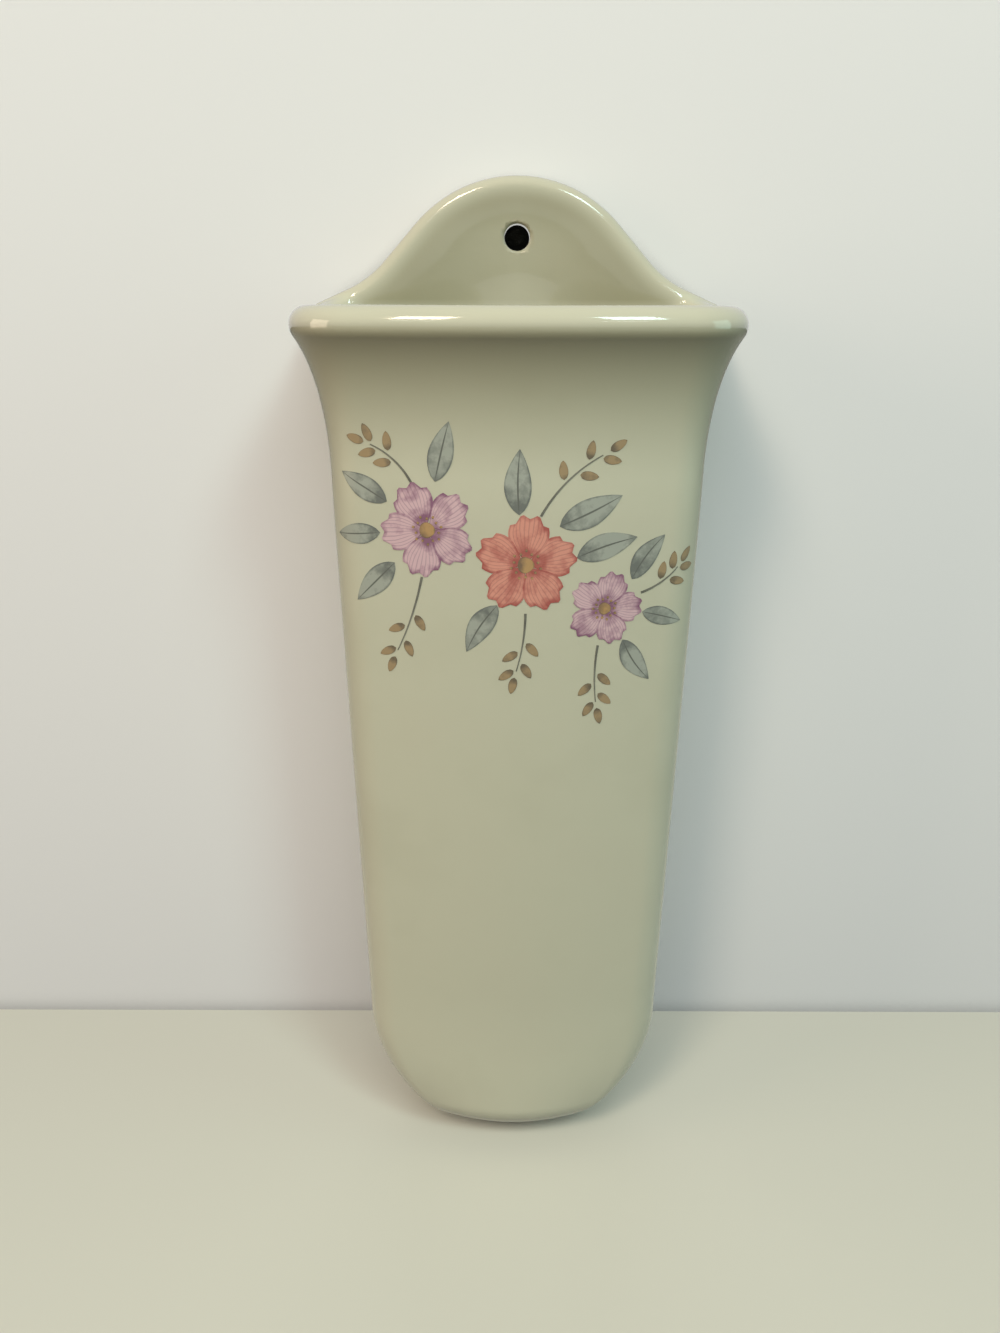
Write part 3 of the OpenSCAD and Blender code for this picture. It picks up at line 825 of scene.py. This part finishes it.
def pointCloud(rows, names=("angle", "size", "tint", "bend", "ring", "lift")):
    # Points at flat [s, z] places with a number of each name
    mesh = bpy.data.meshes.new("points")
    mesh.from_pydata([(float(row[0][0]), float(row[0][1]), 0.0) for row in rows], [], [])
    for k, name in enumerate(names):
        layer = mesh.attributes.new(name, "FLOAT", "POINT")
        layer.data.foreach_set("value", [float(row[k + 1]) if k + 1 < len(row) else 0.0
                                         for row in rows])
    return bpy.data.objects.new("points", mesh)


def readLayer(mesh, name, count):
    values = np.zeros(count)
    if name in mesh.attributes:
        mesh.attributes[name].data.foreach_get("value", values)
    return values


def printPiece(name, flats, material, nodes):
    # Wraps flat meshes round the front and gives them a thin body above the glaze
    points, faces, uvs, tints, lifts = [], [], [], [], []
    for mesh in flats:
        base, count = len(points), len(mesh.vertices)
        points += [(v.co.x, v.co.y) for v in mesh.vertices]
        uv = [(0.0, 0.0)] * count
        for loop, spot in zip(mesh.loops, mesh.uv_layers["UVMap"].data):
            uv[loop.vertex_index] = tuple(spot.uv)
        uvs += uv
        faces += [tuple(base + i for i in face.vertices) for face in mesh.polygons]
        tints += list(readLayer(mesh, "tint", count))
        lifts += list(readLayer(mesh, "lift", count))
        bpy.data.meshes.remove(mesh)
    flat = np.array(points)
    seat = settle(onFront(flat), rounds=3)
    normal = clayNormal(seat)
    normal /= np.linalg.norm(normal, axis=1)[:, None]
    lifts = np.array(lifts)[:, None] + sprig["lift"]
    top = seat + normal * (lifts + sprig["thick"])
    under = seat + normal * lifts
    count = len(flat)
    border, turned = {}, []
    for face in faces:
        corners = flat[list(face)]
        after = np.roll(corners, -1, axis=0)
        area = (corners[:, 0] * after[:, 1] - after[:, 0] * corners[:, 1]).sum()
        face = face if area > 0 else face[::-1]
        turned.append(face)
        for a, b in zip(face, face[1:] + face[:1]):
            if (b, a) in border:
                del border[(b, a)]
            else:
                border[(a, b)] = True
    closed = turned + [tuple(p + count for p in face[::-1]) for face in turned]
    closed += [(b, a, a + count, b + count) for a, b in border]
    piece = meshFrom(name, np.concatenate([top, under]), closed, material)
    mesh = piece.data
    uvLayer = mesh.uv_layers.new(name="UVMap")
    tint = mesh.attributes.new("tint", "FLOAT", "POINT")
    for loop in mesh.loops:
        uvLayer.data[loop.index].uv = uvs[loop.vertex_index % count]
    tint.data.foreach_set("value", tints + tints)
    mesh.normals_split_custom_set_from_vertices(np.concatenate([normal, normal]).tolist())
    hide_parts(*nodes)
    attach(piece, "root")
    return piece


def washMaterial(name, deep, pale, vein=None, veins=0.0, midrib=0.0, edge=0.16):
    # Watery enamel: denser at the root and the rim, pale in the middle
    material, tree, shader = newMaterial(name + "_wash")
    glaze = finishGlaze(tree, shader)
    uv = addNode(tree, "ShaderNodeUVMap").outputs[0]
    u, v = addNode(tree, "ShaderNodeSeparateXYZ", {0: uv}).outputs[:2]
    place = addNode(tree, "ShaderNodeTexCoord").outputs["Object"]
    brush = addNode(tree, "ShaderNodeTexNoise", {"Vector": place, "Scale": 260.0, "Detail": 4.0,
                                                 "Roughness": 0.6}).outputs["Fac"]
    tint = addNode(tree, "ShaderNodeAttribute", attribute_name="tint").outputs["Fac"]

    fromMiddle = mathChain(tree, u, ("SUBTRACT", 0.5), ("ABSOLUTE",))
    root = rangeNode(tree, v, 0.55, 0.05)
    rim = rangeNode(tree, v, 1.0 - edge, 1.0)
    side = rangeNode(tree, fromMiddle, 0.5 - edge * 0.7, 0.5)
    cloud = rangeNode(tree, brush, 0.3, 0.7, -0.45, 0.5)
    density = mathChain(tree, rim, ("MAXIMUM", side), ("MULTIPLY", 0.65),
                        ("ADD", mathNode(tree, "MULTIPLY", root, 0.8)), ("ADD", cloud),
                        ("ADD", mathNode(tree, "MULTIPLY", tint, 0.35), True))
    colour = mixColours(tree, density, pale, deep)
    if midrib:
        rib = rangeNode(tree, fromMiddle, midrib, midrib * 0.3)
        colour = mixColours(tree, rib, colour, vein)
    if veins:
        wave = addNode(tree, "ShaderNodeTexWave", {
            "Vector": uv, "Scale": 3.4, "Distortion": 1.2, "Detail": 1.0}, bands_direction="X")
        streak = rangeNode(tree, wave.outputs["Fac"], 0.7, 1.0, 0.0, veins)
        colour = mixColours(tree, streak, colour, vein)
    fill(tree, shader, {"Base Color": mixColours(tree, 0.1, colour, glaze)})
    return material


washes = {  # deep, pale and vein colours, the strength of the veins, the width of the midrib
    "coral": (srgb(164, 36, 36), srgb(218, 138, 120), srgb(132, 28, 32), 0.35),
    "mauve": (srgb(122, 50, 104), srgb(212, 174, 184), srgb(92, 36, 84), 0.35),
    "ochre": (srgb(100, 62, 28), srgb(176, 132, 70)),
    "leaf": (srgb(80, 88, 88), srgb(154, 160, 150), srgb(56, 62, 62), 0.0, 0.05),
    "stem": (srgb(62, 62, 58), srgb(100, 100, 90)),
    "bud": (srgb(76, 56, 32), srgb(150, 122, 80)),
}


def sprayStart(row):
    centre, radius, _ = blossomPlace(row[0])
    return centre + heading(row[1]) * (radius + sprig["leafGap"])


def sprayPoint(row, share):
    angle, turn, length = row[1] + row[2], row[3], row[4]
    bend = length / math.radians(turn)
    return (sprayStart(row) + bend * (np.array([-math.sin(math.radians(angle)),
                                               math.cos(math.radians(angle))])
                                      + heading(angle - 90 + turn * share)))


def stemPaths(count=24, taper=0.6):
    data = bpy.data.curves.new("stems", "CURVE")
    data.dimensions = "3D"
    for row in sprayRows:
        path = data.splines.new("POLY")
        path.points.add(count - 1)
        for k, point in enumerate(path.points):
            share = k / (count - 1)
            place = sprayPoint(row, share)
            point.co = (place[0], place[1], 0.0, 1.0)
            point.radius = 1.0 - taper * share
    return bpy.data.objects.new("stems", data)


def makeBlossoms(petals, names, seed, wash):
    rows = []
    for name in names:
        centre, radius, turn = blossomPlace(name)
        rows.append((centre, math.radians(turn), radius))
    return runTree(pointCloud(rows), petals, {
        "Petals": sprig["petals"], "Half Width": sprig["petalHalf"], "Wave": sprig["petalWave"],
        "Seed": seed, "Material": wash})


def makeSprig():
    wash = {name: washMaterial(name, *row) for name, row in washes.items()}
    petals, blades = petalTree(), bladeTree()
    coral = makeBlossoms(petals, ["coral"], 3, wash["coral"])
    printPiece("coral_petals", [coral], wash["coral"], ["coral_blossom"])
    mauve = makeBlossoms(petals, ["mauve", "mauveSmall"], 5, wash["mauve"])
    printPiece("mauve_petals", [mauve], wash["mauve"], ["mauve_blossoms"])

    eyes, stamens = [], []
    for name in ("coral", "mauve", "mauveSmall"):
        centre, radius, turn = blossomPlace(name)
        core = radius * sprig["centreShare"] * sprig["eyeShare"]
        eyes.append((centre - heading(0) * core, 0.0, 2.0 * core, 0.0, 0.0, 0.0, sprig["eyeLift"]))
        stamens.append((centre, math.radians(turn), sprig["stamenLength"], sprig["stamenTint"],
                        0.0, core * sprig["stamenRing"], sprig["eyeLift"]))
    eyes = runTree(pointCloud(eyes), blades, {"Width Share": 1.0, "Form": 0.55, "Rows": 17,
                                              "Material": wash["ochre"]})
    stamens = runTree(pointCloud(stamens), blades, {
        "Rows": 7, "Columns": 5, "Width Share": 0.8, "Form": 0.5, "Blunt": 0.05,
        "Count": sprig["stamens"], "Stagger": 0.26, "Material": wash["ochre"]})
    printPiece("blossom_eyes", [eyes, stamens], wash["ochre"], ["blossom_centres"])

    dice = random.Random(11)
    leaves, buds = [], []
    for name, side, lean, length in leafRows:
        centre, radius, _ = blossomPlace(name)
        root = centre + heading(side) * (radius + sprig["leafGap"])
        leaves.append((root, math.radians(side + lean), length, dice.uniform(-0.4, 0.4),
                       dice.uniform(-0.7, 0.7)))
    for row in sprayRows:
        for share, lean in budRows:
            direction = row[1] + row[2] + row[3] * min(share, 1.0) + lean
            root = (sprayPoint(row, share)
                    + heading(direction) * (sprig["stemWidth"] + sprig["budWidth"] / 4))
            buds.append((root, math.radians(direction), sprig["budLength"],
                         dice.uniform(-0.3, 0.4)))
    leaves = runTree(pointCloud(leaves), blades, {
        "Width Share": sprig["leafShare"], "Form": 0.85, "Material": wash["leaf"]})
    printPiece("leaf_blades", [leaves], wash["leaf"], ["leaves"])
    stems = runTree(stemPaths(), stemTree(), {"Width": sprig["stemWidth"],
                                              "Material": wash["stem"]})
    printPiece("stem_lines", [stems], wash["stem"], ["stems"])
    buds = runTree(pointCloud(buds), blades, {
        "Rows": 11, "Columns": 7, "Width Share": sprig["budWidth"] / sprig["budLength"],
        "Form": 0.6, "Material": wash["bud"]})
    printPiece("seed_bud_dabs", [buds], wash["bud"], ["seed_buds"])


makeSprig()
print("sprig made")


# Table, backdrop and light
studio = {
    "table": srgb(210, 208, 195), "wall": srgb(238, 238, 237), "bounce": 0.06,
    "wallTop": (1.0, 16.0), "wallFoot": (26.0, -252.0), "reach": 2.5,
    "worldLight": 0.15, "sky": (0.97, 0.99, 1.0, 1.0), "background": srgb(214, 214, 211),
    "target": (0.0, -0.04, -0.08),
    "panels": [  # azimuth, elevation, distance, width, height, watts, colour, in reflections
        (-25.0, 44.0, 1.5, 0.30, 0.38, 6.0, (1.0, 0.83, 0.62), True),
        (32.0, 44.0, 1.5, 0.30, 0.38, 4.4, (0.68, 1.0, 0.96), True),
        (-24.0, 28.0, 1.5, 0.30, 0.018, 0.18, (1.0, 0.97, 0.9), True),
        (26.0, 28.0, 1.5, 0.26, 0.018, 0.15, (0.95, 1.0, 0.98), True),
        (0.0, 45.0, 1.7, 1.7, 0.9, 19.0, (1.0, 1.0, 0.98), False),
        (-72.0, 4.0, 1.4, 0.7, 1.1, 7.0, (1.0, 0.80, 0.60), True),
        (78.0, 4.0, 1.4, 0.7, 1.1, 3.4, (0.60, 1.0, 0.88), True),
        (180.0, 25.0, 1.6, 0.9, 0.9, 3.2, (1.0, 1.0, 1.0), False),
    ],
}


def whatIsSeen(tree):
    # 1 for what the camera sees, directly or in a gloss, and 1 for directly alone
    path = addNode(tree, "ShaderNodeLightPath").outputs
    direct = path["Is Camera Ray"]
    return mathNode(tree, "MAXIMUM", direct, path["Is Glossy Ray"]), direct


def stagePlane(name, corners, values, shut=None):
    # A plain sheet of the set. It gives back less light than the camera sees on it.
    mesh = bpy.data.meshes.new(name)
    mesh.from_pydata([tuple(c * mm for c in corner) for corner in corners], [], [(0, 1, 2, 3)])
    material, tree, shader = newMaterial("pale_" + name)
    seen, direct = whatIsSeen(tree)
    colour = values[name]
    dim = tuple(channel * values["bounce"] for channel in colour[:3]) + (1.0,)
    if shut:
        # Deep shade where the sheet is shut in, as seen through the hanging hole
        near = addNode(tree, "ShaderNodeAmbientOcclusion", {"Distance": shut})
        free = rangeNode(tree, near.outputs["AO"], 0.2, 0.6)
        colour = mixColours(tree, free, (0.002, 0.002, 0.002, 1.0), colour)
    fill(tree, shader, {"Base Color": mixColours(tree, seen, dim, colour), "Roughness": 0.6,
                        "Specular IOR Level": 0.1})
    mesh.materials.append(material)
    sheet = bpy.data.objects.new(name, mesh)
    scene.collection.objects.link(sheet)
    return tree, shader, direct


def makeTable(values):
    far, low = values["reach"] / mm, body["low"] - 0.05
    stagePlane("table", [(-far, -far, low), (far, -far, low), (far, far, low), (-far, far, low)],
               values)


def makeWall(values):
    # Seen from its front alone, and only by the camera, so that the back stays lit
    far = values["reach"] / mm
    (topY, topZ), (footY, footZ) = values["wallTop"], values["wallFoot"]
    lean = (topY - footY) / (topZ - footZ)
    highY = topY + lean * (far - topZ)
    tree, shader, direct = stagePlane(
        "wall", [(-far, footY, footZ), (far, footY, footZ), (far, highY, far), (-far, highY, far)],
        values, shut=0.03)
    side = addNode(tree, "ShaderNodeNewGeometry").outputs["Backfacing"]
    front = mathChain(tree, mathNode(tree, "SUBTRACT", 1.0, side), ("MULTIPLY", direct))
    clear = addNode(tree, "ShaderNodeBsdfTransparent")
    mix = addNode(tree, "ShaderNodeMixShader", {0: front, 1: clear.outputs[0],
                                                2: shader.outputs[0]})
    fill(tree, tree.nodes["Material Output"], {0: mix.outputs[0]})


def makeWorld(values):
    world = bpy.data.worlds.new("studio")
    scene.world = world
    world.use_nodes = True
    tree = world.node_tree
    tree.nodes.clear()
    light = addNode(tree, "ShaderNodeBackground", {"Color": values["sky"],
                                                   "Strength": values["worldLight"]})
    pale = addNode(tree, "ShaderNodeBackground", {"Color": values["background"], "Strength": 1.0})
    mix = addNode(tree, "ShaderNodeMixShader", {0: whatIsSeen(tree)[0], 1: light.outputs[0],
                                                2: pale.outputs[0]})
    addNode(tree, "ShaderNodeOutputWorld", {0: mix.outputs[0]})


def makePanels(values):
    target = Vector(values["target"])
    for k, row in enumerate(values["panels"]):
        azimuth, elevation, distance, width, height, watts, colour, mirrored = row
        data = bpy.data.lights.new("panel%d" % k, "AREA")
        data.shape = "RECTANGLE"
        data.size, data.size_y = width, height
        data.energy = watts
        data.color = colour
        panel = bpy.data.objects.new("panel%d" % k, data)
        turn, rise = math.radians(azimuth), math.radians(elevation)
        away = Vector((math.sin(turn) * math.cos(rise), -math.cos(turn) * math.cos(rise),
                       math.sin(rise)))
        panel.location = target + away * distance
        panel.rotation_euler = away.to_track_quat("Z", "Y").to_euler()
        panel.visible_glossy = mirrored
        scene.collection.objects.link(panel)


makeTable(studio)
makeWall(studio)
makeWorld(studio)
makePanels(studio)
print("studio made")
